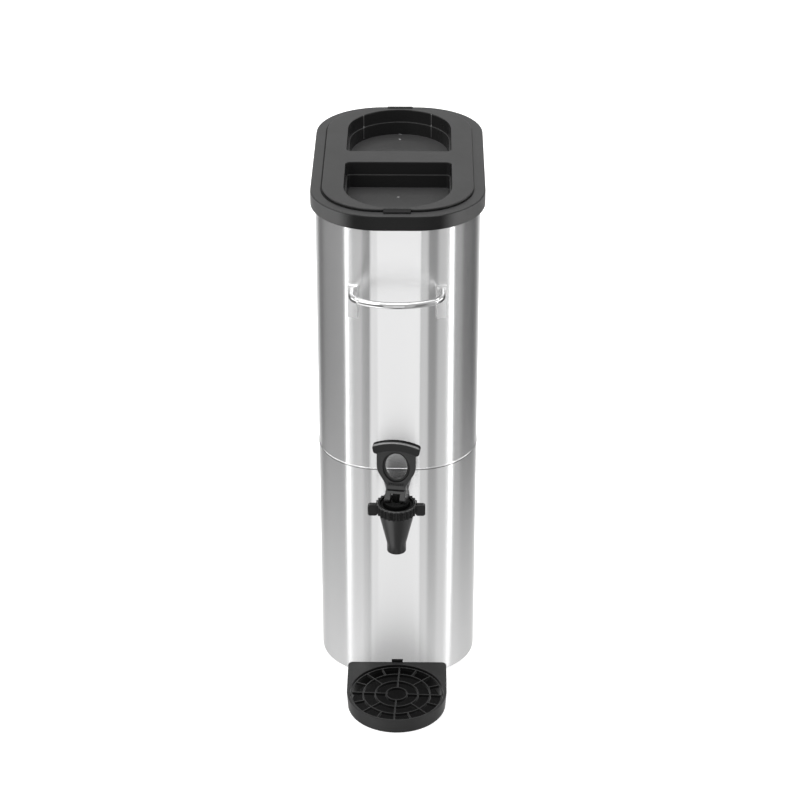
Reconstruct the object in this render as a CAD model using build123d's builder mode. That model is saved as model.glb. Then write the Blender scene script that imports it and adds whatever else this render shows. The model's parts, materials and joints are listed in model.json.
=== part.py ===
from build123d import *
from math import asin, cos, degrees, radians, sin, tan
import os

# Narrow free-standing iced tea dispenser: steel tank on a steel base, lift-off lid, tap and drip tray.
# Millimetres, +Z up, the tap faces -Y. The origin is on the table, at the middle of the plan.

os.makedirs("parts", exist_ok=True)

# Steel body
body_width = 156.0
body_depth = 265.0
body_corner = 61.5
sheet = 1.2
hem_height = 1.0
hem_return = 9.0
hem_edge = 0.5
seam_height = 241.5
seam_bevel = 0.6
seam_bead_height = 1.5
seam_bead_reach = 0.45
seam_bead_edge = 0.35
nest_gap = 0.4
nest_depth = 51.5
floor_above_bottom = 3.0
floor_rise = 9.0
floor_sheet = 1.5
bead_top = 506.3
bead_height = 3.6
bead_reach = 1.2
bead_edge = 1.1

# Underside
base_plate_sheet = 1.5
foot_radius = 10.0
foot_edge = 1.0
foot_plug_radius = 3.0
foot_head_radius = 4.6
foot_head_height = 1.8
foot_from_side = 30.0
foot_from_end = 42.5
stud_radius = 2.0
stud_length = 6.0
stud_gap = 0.3
stud_nut_across_flats = 7.0
stud_nut_height = 3.2

# Lid
lid_overhang = 4.6
lid_wall = 2.0
lid_edge_radius = 1.7
skirt_edge = 0.3
rim_above_bead = 5.3
skirt_height = 14.4
rim_band = 11.0
seat_width = 6.0
plug_wall = 1.8
plug_gap = 0.8
plug_depth = 9.0
cover_thickness = 2.5
cover_edge = 0.8
cover_gap = 0.3
cover_rib = 1.6
cover_rib_depth = 4.0
well_half_width = 50.8
well_depth = 25.9
well_wall = 1.8
well_edge = 0.6
well_end_land = 3.6
well_corner = 5.0
well_draft = 2.0
ledge_depth = 13.0
ledge_step = 1.8
grip_width = 27.6
tab_width = 25.5
tab_reach = 4.2
tab_root = 0.8
tab_rise = 0.5
tab_tip = 1.2
gate_radius = 1.0
gate_height = 0.4
gate_from_grip_front = 25.0
gate_from_grip_rear = 93.0
gasket_gap = 0.3

# Carrying handles
handle_height = 433.0
handle_rod = 6.35
handle_half_width = 42.0
handle_stand_off = 29.3
handle_bow = 75.0
handle_bend = 14.0
plate_width = 9.0
plate_height = 33.0
plate_top_margin = 4.2
plate_thickness = 2.0

# Tap
tap_stand_off = 50.5
shank_above_floor = 18.0
spout_below_shank = 29.6
spout_lip_height = 8.6
spout_lip_radius = 9.2
spout_shoulder_radius = 17.4
spout_bore = 6.2
spout_mouth = 7.2
spout_wall = 2.2
bonnet_thread = 1.0
seat_above_lip = 10.0
bonnet_above_tip = 43.6
bonnet_ring_height = 9.7
bonnet_radius = 18.9
bonnet_recess = 2.2
bonnet_plate = 2.2
bonnet_neck_radius = 16.2
bonnet_hub_radius = 12.2
bonnet_hub_rise = 1.8
bonnet_hub_flare = 0.8
bonnet_edge = 1.0
knurl_count = 26
knurl_radius = 1.15
knurl_sides = 8
knurl_below_top = 0.6
wing_span = 55.0
wing_thickness = 4.6
wing_height = 12.0
wing_below_top = 1.8
wing_corner = 2.4
shank_radius = 7.9
shank_bore = 4.8
shank_tail = 4.0
shank_boss_radius = 9.6
shank_flange_radius = 12.0
shank_flange = 3.0
washer_radius = 12.0
outer_washer = 2.5
inner_washer = 2.0
nut_across_flats = 22.0
nut_corner_turn = 1.0
nut_thickness = 8.0
wall_hole_gap = 0.4

# Valve and lever
lever_twist = 8.0
stem_radius = 4.0
stem_running_gap = 0.08
cup_radius = 8.2
cup_nose_radius = 5.4
cup_gap = 0.3
cup_nose_depth = 2.0
cup_nose_taper = 1.5
cup_flange = 2.7
cup_height = 12.0
cup_sleeve = 1.6
pin_above_hub = 7.0
pin_radius = 1.5
pin_running_gap = 0.05
cam_rate = 4.0
cam_travel = 75.0
cam_gap = 0.1
cam_steps = 6
cheek_gap = 0.5
cheek_half_width = 10.9
cheek_back = 5.6
web_gap = 0.8
neck_half_width = 8.9
neck_height = 11.5
band_reach = 2.5
band_drop = 3.0
band_undercut = 1.4
band_groove = 0.8
ring_radius = 18.5
ring_height = 32.0
ring_thickness = 7.0
ring_hole_half_width = 10.45
ring_hole_half_height = 13.9
ring_hole_drop = 0.7
ring_web_width = 2.6
ring_web_thickness = 3.0
paddle_half_width = 23.1
paddle_top = 57.8
paddle_thickness = 9.1
paddle_depth = 8.6
paddle_bow = 55.0
paddle_slant = 10.0
paddle_corner = 3.0
paddle_edge = 1.4
pin_proud = 0.6

# Drip tray
tray_reach = 100.7
tray_half_width = 49.9
tray_height = 16.0
tray_gap = 0.6
tray_corner = 5.0
tray_edge = 0.6
tray_draft = 4.0
tray_floor = 2.0
tray_wall = 2.2
tray_rear_wall = 3.2
tray_lip = 2.4
pan_forward = 2.0
grate_radius = 45.8
grate_gap = 0.8
grate_thickness = 3.0
grate_drop = 2.4
grate_bar = 1.3
grate_ledge = 2.0
grate_rings = [33.4, 21.4, 10.4]
grate_ribs = [16, 8, 4]
grate_twist = -3.0
catch_width = 11.0
catch_rise = 2.4
catch_thickness = 2.0
catch_reach = 3.0
catch_gap = 0.3

# Places that follow from the sizes
rear_reach = handle_stand_off + handle_rod / 2
body_y = (tray_reach - rear_reach) / 2
front_y = body_y - body_depth / 2
tap_y = front_y - tap_stand_off
tray_y = front_y - tray_reach + tray_half_width
pan_y = tap_y - pan_forward
nest = sheet + nest_gap
tank_inner_y = front_y + nest + sheet
tank_bottom = seam_height - nest_depth
floor_front = tank_bottom + floor_above_bottom
foot_spacing_x = body_width - 2 * foot_from_side
foot_spacing_y = body_depth - 2 * foot_from_end
rim_top = bead_top + rim_above_bead
skirt_bottom = rim_top - skirt_height
cover_inset = rim_band - lid_overhang
cover_top = rim_top + cover_thickness
shank_height = floor_front + shank_above_floor
spout_tip = shank_height - spout_below_shank
spout_lip_top = spout_tip + spout_lip_height
seat_height = spout_lip_top + seat_above_lip
bonnet_bottom = spout_tip + bonnet_above_tip
hub_top = bonnet_bottom + bonnet_ring_height + bonnet_hub_rise
bonnet_plate_top = bonnet_bottom + bonnet_ring_height - bonnet_recess
pin_height = hub_top + pin_above_hub
cone_slope = (spout_shoulder_radius - spout_lip_radius) / (bonnet_bottom - spout_lip_top)
flange_y = front_y - outer_washer
washer_y = tank_inner_y + inner_washer
nut_y = washer_y + nut_thickness
plate_top = handle_height + plate_top_margin
stud_spacing = body_depth - hem_return - sheet

# Frames of the tap's lever: front view and side view, turned with the lever
twist = radians(lever_twist)
pin_place = (0, tap_y, pin_height)
lever_right = (cos(twist), -sin(twist), 0)
lever_rear = (sin(twist), cos(twist), 0)
lever_front = Plane(pin_place, x_dir=lever_right, z_dir=(-sin(twist), -cos(twist), 0))
lever_side = Plane(pin_place, x_dir=lever_rear, z_dir=lever_right)


def level(height):
    """Horizontal plane at a height, centred on the body."""
    return Plane((0, body_y, height))


def tap_level(height):
    """Horizontal plane at a height, centred under the tap."""
    return Plane((0, tap_y, height))


def pan_level(height):
    """Horizontal plane at a height, centred on the tray's round pan."""
    return Plane((0, pan_y, height))


def wall_plane(y):
    """Upright plane across the shank, facing the front."""
    return Plane((0, y, shank_height), x_dir=(1, 0, 0), z_dir=(0, -1, 0))


def body_outline(inset=0.0, mode=Mode.ADD):
    """The body's rounded plan, moved inwards by inset."""
    return RectangleRounded(body_width - 2 * inset, body_depth - 2 * inset, body_corner - inset, mode=mode)


def finish(part, label):
    """Name a finished piece and write it."""
    part.part.label = label
    export_step(part.part, f"parts/{label}.step")


# Base: a tube of sheet with a turned-in hem, on which the base plate lies
with BuildPart() as base_shell:
    with BuildSketch(level(hem_height)):
        body_outline()
        body_outline(sheet, Mode.SUBTRACT)
    extrude(amount=seam_height - hem_height)
    with BuildSketch(level(hem_height)):
        body_outline()
        body_outline(hem_return, Mode.SUBTRACT)
    extrude(amount=sheet)
    chamfer(base_shell.faces().sort_by(Axis.Z)[-1].outer_wire().edges(), seam_bevel)
    chamfer(base_shell.faces().sort_by(Axis.Z)[0].outer_wire().edges(), hem_edge)
    with BuildSketch(wall_plane(front_y)):
        Circle(shank_radius + wall_hole_gap)
    extrude(amount=-2 * sheet, mode=Mode.SUBTRACT)
    catch_middle = tray_height + catch_rise - catch_thickness / 2
    with BuildSketch(Plane((0, front_y, catch_middle), x_dir=(1, 0, 0), z_dir=(0, -1, 0))):
        Rectangle(catch_width + 2 * catch_gap, catch_thickness + 2 * catch_gap)
    extrude(amount=-2 * sheet, mode=Mode.SUBTRACT)
finish(base_shell, "base_shell")

# Base plate, on the hem
plate_bottom = hem_height + sheet
with BuildPart() as base_plate:
    with BuildSketch(level(plate_bottom)):
        body_outline(sheet)
        with GridLocations(foot_spacing_x, foot_spacing_y, 2, 2):
            Circle(foot_plug_radius, mode=Mode.SUBTRACT)
        with GridLocations(0, stud_spacing, 1, 2):
            Circle(stud_radius + stud_gap, mode=Mode.SUBTRACT)
    extrude(amount=base_plate_sheet)
finish(base_plate, "base_plate")

# Studs on the hem, and the nuts that hold the base plate down on it
with BuildPart() as base_studs:
    with BuildSketch(level(plate_bottom)):
        with GridLocations(0, stud_spacing, 1, 2):
            Circle(stud_radius)
    extrude(amount=stud_length)
finish(base_studs, "base_studs")

with BuildPart() as base_nuts:
    with BuildSketch(level(plate_bottom + base_plate_sheet)):
        with GridLocations(0, stud_spacing, 1, 2):
            RegularPolygon(stud_nut_across_flats / 2, 6, major_radius=False)
            Circle(stud_radius, mode=Mode.SUBTRACT)
    extrude(amount=stud_nut_height)
finish(base_nuts, "base_nuts")

# Rubber feet: a pad under the base plate, a plug through it and a snap head above it
foot_profile = [
    (0, 0),
    (foot_radius - foot_edge, 0),
    (foot_radius, foot_edge),
    (foot_radius, plate_bottom),
    (foot_plug_radius, plate_bottom),
    (foot_plug_radius, plate_bottom + base_plate_sheet),
    (foot_head_radius, plate_bottom + base_plate_sheet),
    (foot_plug_radius, plate_bottom + base_plate_sheet + foot_head_height),
    (0, plate_bottom + base_plate_sheet + foot_head_height),
]
with BuildPart() as feet:
    for sign_x in (-1, 1):
        for sign_y in (-1, 1):
            foot_origin = (sign_x * foot_spacing_x / 2, body_y + sign_y * foot_spacing_y / 2, 0)
            foot_plane = Plane(foot_origin, x_dir=(1, 0, 0), z_dir=(0, -1, 0))
            with BuildSketch(foot_plane):
                with BuildLine():
                    Polyline(foot_profile, close=True)
                make_face()
            revolve(axis=Axis(foot_origin, (0, 0, 1)))
finish(feet, "feet")

# Tank: the upper skin is flush with the base, the lower skin steps in and nests inside it
with BuildPart() as tank_shell:
    # rolled beads: a large one round the mouth and a small one along the upper skin's lower edge
    for bead_bottom, height, reach, edge in (
        (bead_top - bead_height, bead_height, bead_reach, bead_edge),
        (seam_height, seam_bead_height, seam_bead_reach, seam_bead_edge),
    ):
        with BuildSketch(level(bead_bottom)):
            body_outline(-reach)
            body_outline(sheet, Mode.SUBTRACT)
        extrude(amount=height)
        bead_ends = tank_shell.faces(Select.LAST).sort_by(Axis.Z)
        chamfer(bead_ends[0].outer_wire().edges() + bead_ends[-1].outer_wire().edges(), edge)
    with BuildSketch(level(seam_height)):
        body_outline()
        body_outline(sheet, Mode.SUBTRACT)
    extrude(amount=bead_top - bead_height / 2 - seam_height)
    with BuildSketch(level(seam_height)):
        body_outline()
        body_outline(nest + sheet, Mode.SUBTRACT)
    extrude(amount=sheet)
    with BuildSketch(level(tank_bottom)):
        body_outline(nest)
        body_outline(nest + sheet, Mode.SUBTRACT)
    extrude(amount=seam_height - tank_bottom)
    with BuildSketch(wall_plane(front_y)):
        Circle(shank_radius + wall_hole_gap)
    extrude(amount=-(nest + 2 * sheet), mode=Mode.SUBTRACT)
finish(tank_shell, "tank_shell")

# Tank floor: a plate that falls towards the tap
with BuildPart() as tank_floor:
    with BuildSketch(level(tank_bottom)):
        body_outline(nest + sheet)
    extrude(amount=seam_height - tank_bottom)
    slope_points = [
        (front_y, floor_front),
        (front_y + body_depth, floor_front + floor_rise),
        (front_y + body_depth, floor_front + floor_rise - floor_sheet),
        (front_y, floor_front - floor_sheet),
    ]
    with BuildSketch(Plane.YZ):
        with BuildLine():
            Polyline(slope_points, close=True)
        make_face()
    extrude(amount=body_width, both=True, mode=Mode.INTERSECT)
finish(tank_floor, "tank_floor")


def well_face(grow):
    """Plan of a finger well, open side up the page: square at the grip, round at its far end."""
    half = well_half_width + grow
    near = grip_width / 2 - grow
    middle = body_depth / 2 - cover_inset - well_end_land - well_half_width
    with BuildSketch() as face:
        with BuildLine():
            Line((-half, middle), (-half, near))
            Line((-half, near), (half, near))
            Line((half, near), (half, middle))
            ThreePointArc((half, middle), (0, middle + half), (-half, middle))
        make_face()
        fillet(face.vertices().group_by(Axis.Y)[0], well_corner + grow)
    return face.sketch


def well_plane(side, height):
    """Plane of a well's plan, with its page turned to the front (-1) or the rear (1)."""
    return Plane((0, body_y, height), x_dir=(side, 0, 0), z_dir=(0, 0, 1))


# Lid rim: a top band with a skirt outside the tank's mouth and a plug ring inside it
with BuildPart() as lid_rim:
    with BuildSketch(level(skirt_bottom)):
        body_outline(-lid_overhang)
    extrude(amount=skirt_height)
    fillet(lid_rim.faces().sort_by(Axis.Z)[-1].edges(), lid_edge_radius)
    chamfer(lid_rim.faces().sort_by(Axis.Z)[0].edges(), skirt_edge)
    with BuildSketch(level(skirt_bottom)):
        body_outline(lid_wall - lid_overhang)
    extrude(amount=skirt_height - lid_wall, mode=Mode.SUBTRACT)
    with BuildSketch(level(rim_top - plug_depth)):
        body_outline(sheet + plug_gap)
        body_outline(sheet + plug_gap + plug_wall, Mode.SUBTRACT)
    extrude(amount=plug_depth - lid_wall)
    with BuildSketch(level(rim_top)):
        body_outline(cover_inset + seat_width)
    extrude(amount=-skirt_height, mode=Mode.SUBTRACT)
    for side in (-1, 1):
        with BuildSketch(well_plane(side, rim_top)):
            add(well_face(well_wall + cover_gap))
        extrude(amount=-lid_wall, mode=Mode.SUBTRACT)
finish(lid_rim, "lid_rim")

# Lid gasket, in the channel between the skirt and the plug ring
with BuildPart() as lid_gasket:
    with BuildSketch(level(bead_top + gasket_gap)):
        body_outline(lid_wall - lid_overhang)
        body_outline(sheet + plug_gap, Mode.SUBTRACT)
    extrude(amount=rim_top - lid_wall - bead_top - gasket_gap)
finish(lid_gasket, "lid_gasket")

# Lid cover: a plate on the rim with two finger wells and the grip between them
with BuildPart() as lid_cover:
    with BuildSketch(level(rim_top)):
        body_outline(cover_inset)
    extrude(amount=cover_thickness)
    chamfer(lid_cover.faces().sort_by(Axis.Z)[-1].edges(), cover_edge)
    with BuildSketch(level(rim_top)):
        body_outline(cover_inset + seat_width + cover_gap)
        body_outline(cover_inset + seat_width + cover_gap + cover_rib, Mode.SUBTRACT)
    extrude(amount=-cover_rib_depth)
    for side in (-1, 1):
        with BuildSketch(well_plane(side, cover_top - cover_edge)):
            add(well_face(well_wall))
        extrude(amount=-(ledge_depth + well_wall - cover_edge), taper=well_draft)
        with BuildSketch(well_plane(side, cover_top - ledge_depth)):
            add(well_face(well_wall - ledge_step))
        extrude(amount=-(well_depth + well_wall - ledge_depth), taper=well_draft)
    for side in (-1, 1):
        with BuildSketch(well_plane(side, cover_top)):
            add(well_face(0))
        extrude(amount=-ledge_depth, taper=well_draft, mode=Mode.SUBTRACT)
        with BuildSketch(well_plane(side, cover_top - ledge_depth)):
            add(well_face(-ledge_step))
        extrude(amount=-(well_depth - ledge_depth), taper=well_draft, mode=Mode.SUBTRACT)
    well_mouths = lid_cover.faces().sort_by(Axis.Z)[-1].inner_wires()
    chamfer(well_mouths.edges(), well_edge)
    for side, gate_from_grip in ((-1, gate_from_grip_front), (1, gate_from_grip_rear)):
        # finger tab over the rim, falling away outwards
        cover_end = body_y + side * (body_depth / 2 - cover_inset)
        with BuildSketch(Plane((0, cover_end, rim_top), x_dir=(0, side, 0), z_dir=(side, 0, 0))):
            with BuildLine():
                Polyline(
                    (-tab_root, 0),
                    (-tab_root, cover_thickness + tab_rise),
                    (0, cover_thickness + tab_rise),
                    (tab_reach, tab_tip),
                    (tab_reach, 0),
                    close=True,
                )
            make_face()
        extrude(amount=tab_width / 2, both=True)
        # gate mark in the well's floor
        gate_y = body_y + side * (grip_width / 2 + gate_from_grip)
        with BuildSketch(Plane((0, gate_y, cover_top - well_depth))):
            Circle(gate_radius)
        extrude(amount=gate_height)
finish(lid_cover, "lid_cover")


def handle_plane(side, height):
    """Plane of a handle: its page's top points away from the body, front (-1) or rear (1)."""
    return Plane((0, body_y, height), x_dir=(side, 0, 0), z_dir=(0, 0, 1))


# Handles: a bowed round rod whose legs run back into two plates on the tank
bow_angle = degrees(asin((handle_half_width - handle_bend) / (handle_bow - handle_bend)))
bow_depth = handle_bow * (1 - cos(radians(bow_angle)))
bend_depth = handle_bend * cos(radians(bow_angle))
leg_end = body_depth / 2 + handle_stand_off - bow_depth - bend_depth
leg_start = body_depth / 2 - body_corner + handle_half_width / 2
for side, name in ((-1, "front"), (1, "rear")):
    with BuildPart() as handle:
        with BuildLine(handle_plane(side, handle_height)) as rod_path:
            leg = Line((-handle_half_width, leg_start), (-handle_half_width, leg_end))
            bend = JernArc(leg @ 1, leg % 1, handle_bend, bow_angle - 90)
            bow = JernArc(bend @ 1, bend % 1, handle_bow, -2 * bow_angle)
            far_bend = JernArc(bow @ 1, bow % 1, handle_bend, bow_angle - 90)
            Line(far_bend @ 1, (handle_half_width, leg_start))
        with BuildSketch(Plane(rod_path.wires()[0] @ 0, z_dir=rod_path.wires()[0] % 0)):
            Circle(handle_rod / 2)
        sweep(path=rod_path.wires()[0])
        with BuildSketch(level(handle_height - handle_rod)):
            body_outline()
        extrude(amount=2 * handle_rod, mode=Mode.SUBTRACT)
    finish(handle, f"{name}_handle")

    with BuildPart() as plates:
        with BuildSketch(level(plate_top)):
            body_outline(-plate_thickness)
            body_outline(mode=Mode.SUBTRACT)
        extrude(amount=-plate_height)
        with BuildSketch(handle_plane(side, plate_top)):
            for place in (-handle_half_width, handle_half_width):
                with Locations((place, body_depth / 2)):
                    Rectangle(plate_width, body_corner)
        extrude(amount=-plate_height, mode=Mode.INTERSECT)
        with BuildSketch(Plane((0, body_y, handle_height), x_dir=(1, 0, 0), z_dir=(0, side, 0))):
            for place in (-handle_half_width, handle_half_width):
                with Locations((place, 0)):
                    Circle(handle_rod / 2)
        extrude(amount=body_depth, mode=Mode.SUBTRACT)
    finish(plates, f"{name}_handle_plates")


# Tap body: a hollow cone with a straight lip, and a threaded shank through both walls
def cone_radius(height):
    """Outer radius of the spout's cone at a height."""
    return spout_lip_radius + cone_slope * (height - spout_lip_top)


neck_top = bonnet_plate_top - bonnet_plate
chamber_top_radius = cone_radius(bonnet_bottom) - spout_wall - bonnet_thread
with BuildPart() as faucet_body:
    tap_axis = Axis((0, tap_y, 0), (0, 0, 1))
    tap_section = Plane((0, tap_y, 0), x_dir=(1, 0, 0), z_dir=(0, -1, 0))
    with BuildSketch(tap_section):
        with BuildLine():
            Polyline(
                (0, spout_tip),
                (spout_lip_radius, spout_tip),
                (spout_lip_radius, spout_lip_top),
                (spout_shoulder_radius, bonnet_bottom),
                (bonnet_neck_radius, bonnet_bottom),
                (bonnet_neck_radius, neck_top),
                (0, neck_top),
                close=True,
            )
        make_face()
    revolve(axis=tap_axis)
    with BuildSketch(wall_plane(flange_y)):
        Circle(shank_boss_radius)
    extrude(until=Until.NEXT)
    with BuildSketch(wall_plane(flange_y)):
        Circle(shank_flange_radius)
    extrude(amount=shank_flange)
    with BuildSketch(wall_plane(nut_y + shank_tail)):
        Circle(shank_radius)
    extrude(amount=nut_y + shank_tail - flange_y)
    with BuildSketch(tap_section):
        with BuildLine():
            Polyline(
                (0, spout_tip),
                (spout_mouth, spout_tip),
                (spout_bore, spout_lip_top),
                (spout_bore, seat_height),
                (cone_radius(seat_height) - spout_wall, seat_height),
                (chamber_top_radius, bonnet_bottom),
                (chamber_top_radius, neck_top),
                (0, neck_top),
                close=True,
            )
        make_face()
    revolve(axis=tap_axis, mode=Mode.SUBTRACT)
    with BuildSketch(wall_plane(nut_y + shank_tail)):
        Circle(shank_bore)
    extrude(amount=nut_y + shank_tail - tap_y, mode=Mode.SUBTRACT)
finish(faucet_body, "faucet_body")

# Washers each side of the walls, and the nut inside the tank
with BuildPart() as outer_seal:
    with BuildSketch(wall_plane(front_y)):
        Circle(washer_radius)
        Circle(shank_radius, mode=Mode.SUBTRACT)
    extrude(amount=outer_washer)
finish(outer_seal, "outer_washer")

with BuildPart() as inner_seal:
    with BuildSketch(wall_plane(washer_y)):
        Circle(washer_radius)
        Circle(shank_radius, mode=Mode.SUBTRACT)
    extrude(amount=inner_washer)
finish(inner_seal, "inner_washer")

with BuildPart() as shank_nut:
    with BuildSketch(wall_plane(nut_y)):
        RegularPolygon(nut_across_flats / 2, 6, major_radius=False)
    extrude(amount=nut_thickness)
    with BuildSketch(wall_plane(nut_y)):
        Circle(nut_across_flats / 2 + nut_corner_turn)
    extrude(amount=nut_thickness, mode=Mode.INTERSECT)
    with BuildSketch(wall_plane(nut_y)):
        Circle(shank_radius)
    extrude(amount=nut_thickness, mode=Mode.SUBTRACT)
finish(shank_nut, "shank_nut")

# Bonnet: a knurled ring with two wings, a sunk top and a hub that the lever's cam rides on
ring_top = bonnet_bottom + bonnet_ring_height
with BuildPart() as faucet_bonnet:
    with BuildSketch(tap_section):
        with BuildLine():
            Polyline(
                (stem_radius + stem_running_gap, neck_top),
                (bonnet_neck_radius, neck_top),
                (bonnet_neck_radius, bonnet_bottom),
                (bonnet_radius, bonnet_bottom),
                (bonnet_radius, ring_top - bonnet_edge),
                (bonnet_radius - bonnet_edge, ring_top),
                (bonnet_neck_radius, ring_top),
                (bonnet_neck_radius - bonnet_edge, bonnet_plate_top),
                (bonnet_hub_radius + bonnet_hub_flare, bonnet_plate_top),
                (bonnet_hub_radius, hub_top),
                (stem_radius + stem_running_gap, hub_top),
                close=True,
            )
        make_face()
    revolve(axis=tap_axis)
    with BuildSketch(tap_level(bonnet_bottom)):
        with PolarLocations(bonnet_radius, knurl_count):
            RegularPolygon(knurl_radius, knurl_sides)
        Circle(bonnet_radius - knurl_radius, mode=Mode.SUBTRACT)
    extrude(amount=bonnet_ring_height - knurl_below_top)
    wing_start = (bonnet_radius + spout_shoulder_radius) / 2
    wing_length = wing_span / 2 - wing_start
    for sign in (-1, 1):
        wing_middle = ring_top - wing_below_top - wing_height / 2
        wing_origin = (sign * (wing_start + wing_length / 2), tap_y, wing_middle)
        with BuildSketch(Plane(wing_origin, x_dir=(1, 0, 0), z_dir=(0, -1, 0))):
            RectangleRounded(wing_length, wing_height, wing_corner)
        extrude(amount=wing_thickness / 2, both=True)
finish(faucet_bonnet, "faucet_bonnet")

# Stem, rounded about the pin, and the rubber cup that closes the spout
cup_bottom = seat_height + cup_gap
stem_bottom = cup_bottom + cup_flange
cup_top = cup_bottom + cup_height
with BuildPart() as faucet_stem:
    with BuildSketch(tap_level(stem_bottom)):
        Circle(stem_radius)
    extrude(amount=pin_height + stem_radius - stem_bottom)
    with BuildSketch(lever_side):
        with BuildLine():
            Line((-stem_radius, 0), (-stem_radius, -pin_height))
            Line((-stem_radius, -pin_height), (stem_radius, -pin_height))
            Line((stem_radius, -pin_height), (stem_radius, 0))
            ThreePointArc((stem_radius, 0), (0, stem_radius), (-stem_radius, 0))
        make_face()
    extrude(amount=2 * stem_radius, both=True, mode=Mode.INTERSECT)
    with BuildSketch(lever_side):
        Circle(pin_radius + pin_running_gap)
    extrude(amount=2 * stem_radius, both=True, mode=Mode.SUBTRACT)
finish(faucet_stem, "faucet_stem")

with BuildPart() as seat_cup:
    with BuildSketch(tap_section):
        with BuildLine():
            Polyline(
                (0, cup_bottom - cup_nose_depth),
                (cup_nose_radius - cup_nose_taper, cup_bottom - cup_nose_depth),
                (cup_nose_radius, cup_bottom),
                (cup_radius, cup_bottom),
                (cup_radius, stem_bottom),
                (stem_radius + cup_sleeve, cup_top),
                (stem_radius, cup_top),
                (stem_radius, stem_bottom),
                (0, stem_bottom),
                close=True,
            )
        make_face()
    revolve(axis=tap_axis)
finish(seat_cup, "seat_cup")


cam_rest = pin_above_hub - cam_gap


def cam_point(angle):
    """Point of the cam where it touches the hub at a tilt, so that the lift grows evenly with it."""
    reach = cam_rest + cam_rate * angle
    return (-reach * sin(angle) - cam_rate * cos(angle), -reach * cos(angle) + cam_rate * sin(angle))


# The lever's paddle: a bar bowed about a centre below it, its ends slanting inwards below
bow_centre = paddle_top - paddle_bow
paddle_end = bow_centre + (paddle_bow ** 2 - paddle_half_width ** 2) ** 0.5
end_slope = paddle_bow * tan(radians(paddle_slant))
with BuildPart() as paddle:
    with BuildSketch(lever_front.offset(-paddle_depth / 2)) as paddle_face:
        with Locations((0, bow_centre)):
            Circle(paddle_bow)
            Circle(paddle_bow - paddle_thickness, mode=Mode.SUBTRACT)
        with BuildLine():
            Polyline(
                (end_slope - paddle_half_width, paddle_end - paddle_bow),
                (paddle_half_width - end_slope, paddle_end - paddle_bow),
                (paddle_half_width + end_slope, paddle_end + paddle_bow),
                (-paddle_half_width - end_slope, paddle_end + paddle_bow),
                close=True,
            )
        make_face(mode=Mode.INTERSECT)
        fillet(paddle_face.vertices(), paddle_corner)
    extrude(amount=paddle_depth)
    fillet(paddle.faces().filter_by(lever_front).edges(), paddle_edge)

# Lever: a forked foot with a rising cam, a neck, a ring with a thin inner web, and the paddle
cam_points = [cam_point(radians(cam_travel) * step / cam_steps) for step in range(cam_steps + 1)]
ring_middle = ring_height - ring_hole_drop
neck_lap = 1.0
band_point = (-ring_thickness / 2 - band_reach, neck_height - band_drop)
groove_point = (band_point[0] + band_undercut, band_point[1] - band_groove)
with BuildPart() as faucet_lever:
    with BuildSketch(lever_front):
        with BuildLine():
            Polyline(
                (-cheek_half_width, -cam_rest),
                (cheek_half_width, -cam_rest),
                (neck_half_width, neck_height),
                (-neck_half_width, neck_height),
                close=True,
            )
        make_face()
    extrude(amount=paddle_bow / 2, both=True)
    with BuildSketch(lever_side):
        with BuildLine():
            Line((cheek_back, -cam_rest), cam_points[0])
            Spline(cam_points)
            Line(cam_points[-1], groove_point)
            Line(groove_point, band_point)
            Line(band_point, (-ring_thickness / 2, neck_height))
            Line((-ring_thickness / 2, neck_height), (ring_thickness / 2, neck_height))
            Line((ring_thickness / 2, neck_height), (cheek_back, pin_above_hub))
            Line((cheek_back, pin_above_hub), (cheek_back, -cam_rest))
        make_face()
    extrude(amount=paddle_bow / 2, both=True, mode=Mode.INTERSECT)
    with BuildSketch(lever_front):
        with Locations((0, ring_height)):
            Circle(ring_radius)
        with Locations((0, neck_height)):
            Rectangle(2 * neck_half_width, 2 * neck_lap)
        make_hull()
        with Locations((0, (ring_height + paddle_top - paddle_thickness) / 2)):
            Rectangle(2 * ring_radius, paddle_top - ring_height - paddle_thickness)
    extrude(amount=ring_thickness / 2, both=True)
    add(paddle.part)
    with BuildSketch(lever_front.offset(-ring_thickness)):
        with Locations((0, ring_middle)):
            Ellipse(ring_hole_half_width, ring_hole_half_height)
    extrude(amount=2 * ring_thickness, mode=Mode.SUBTRACT)
    for face_offset in (ring_web_thickness / 2, -ring_thickness / 2):
        with BuildSketch(lever_front.offset(face_offset)):
            with Locations((0, ring_middle)):
                Ellipse(ring_hole_half_width + ring_web_width, ring_hole_half_height + ring_web_width)
            with Locations((0, bow_centre)):
                Circle(paddle_bow - paddle_thickness, mode=Mode.INTERSECT)
        extrude(amount=(ring_thickness - ring_web_thickness) / 2, mode=Mode.SUBTRACT)
    with BuildSketch(lever_side):
        with Locations((0, (stem_radius + web_gap) / 2 - paddle_bow / 2)):
            Rectangle(paddle_bow, stem_radius + web_gap + paddle_bow)
    extrude(amount=stem_radius + cheek_gap, both=True, mode=Mode.SUBTRACT)
    with BuildSketch(lever_side):
        Circle(pin_radius)
    extrude(amount=paddle_bow, both=True, mode=Mode.SUBTRACT)
finish(faucet_lever, "faucet_lever")

# Pin through the lever's fork and the stem
with BuildPart() as lever_pin:
    with BuildSketch(lever_side):
        Circle(pin_radius)
    extrude(amount=neck_half_width + pin_proud, both=True)
finish(lever_pin, "lever_pin")


def tray_face(inset):
    """Plan of the drip tray: straight back and sides, round front."""
    half = tray_half_width - inset
    back = tray_reach - tray_half_width - tray_gap - inset
    with BuildSketch() as face:
        with BuildLine():
            Line((-half, 0), (-half, back))
            Line((-half, back), (half, back))
            Line((half, back), (half, 0))
            ThreePointArc((half, 0), (0, -half), (-half, 0))
        make_face()
        fillet(face.vertices().group_by(Axis.Y)[-1], tray_corner)
    return face.sketch


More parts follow.
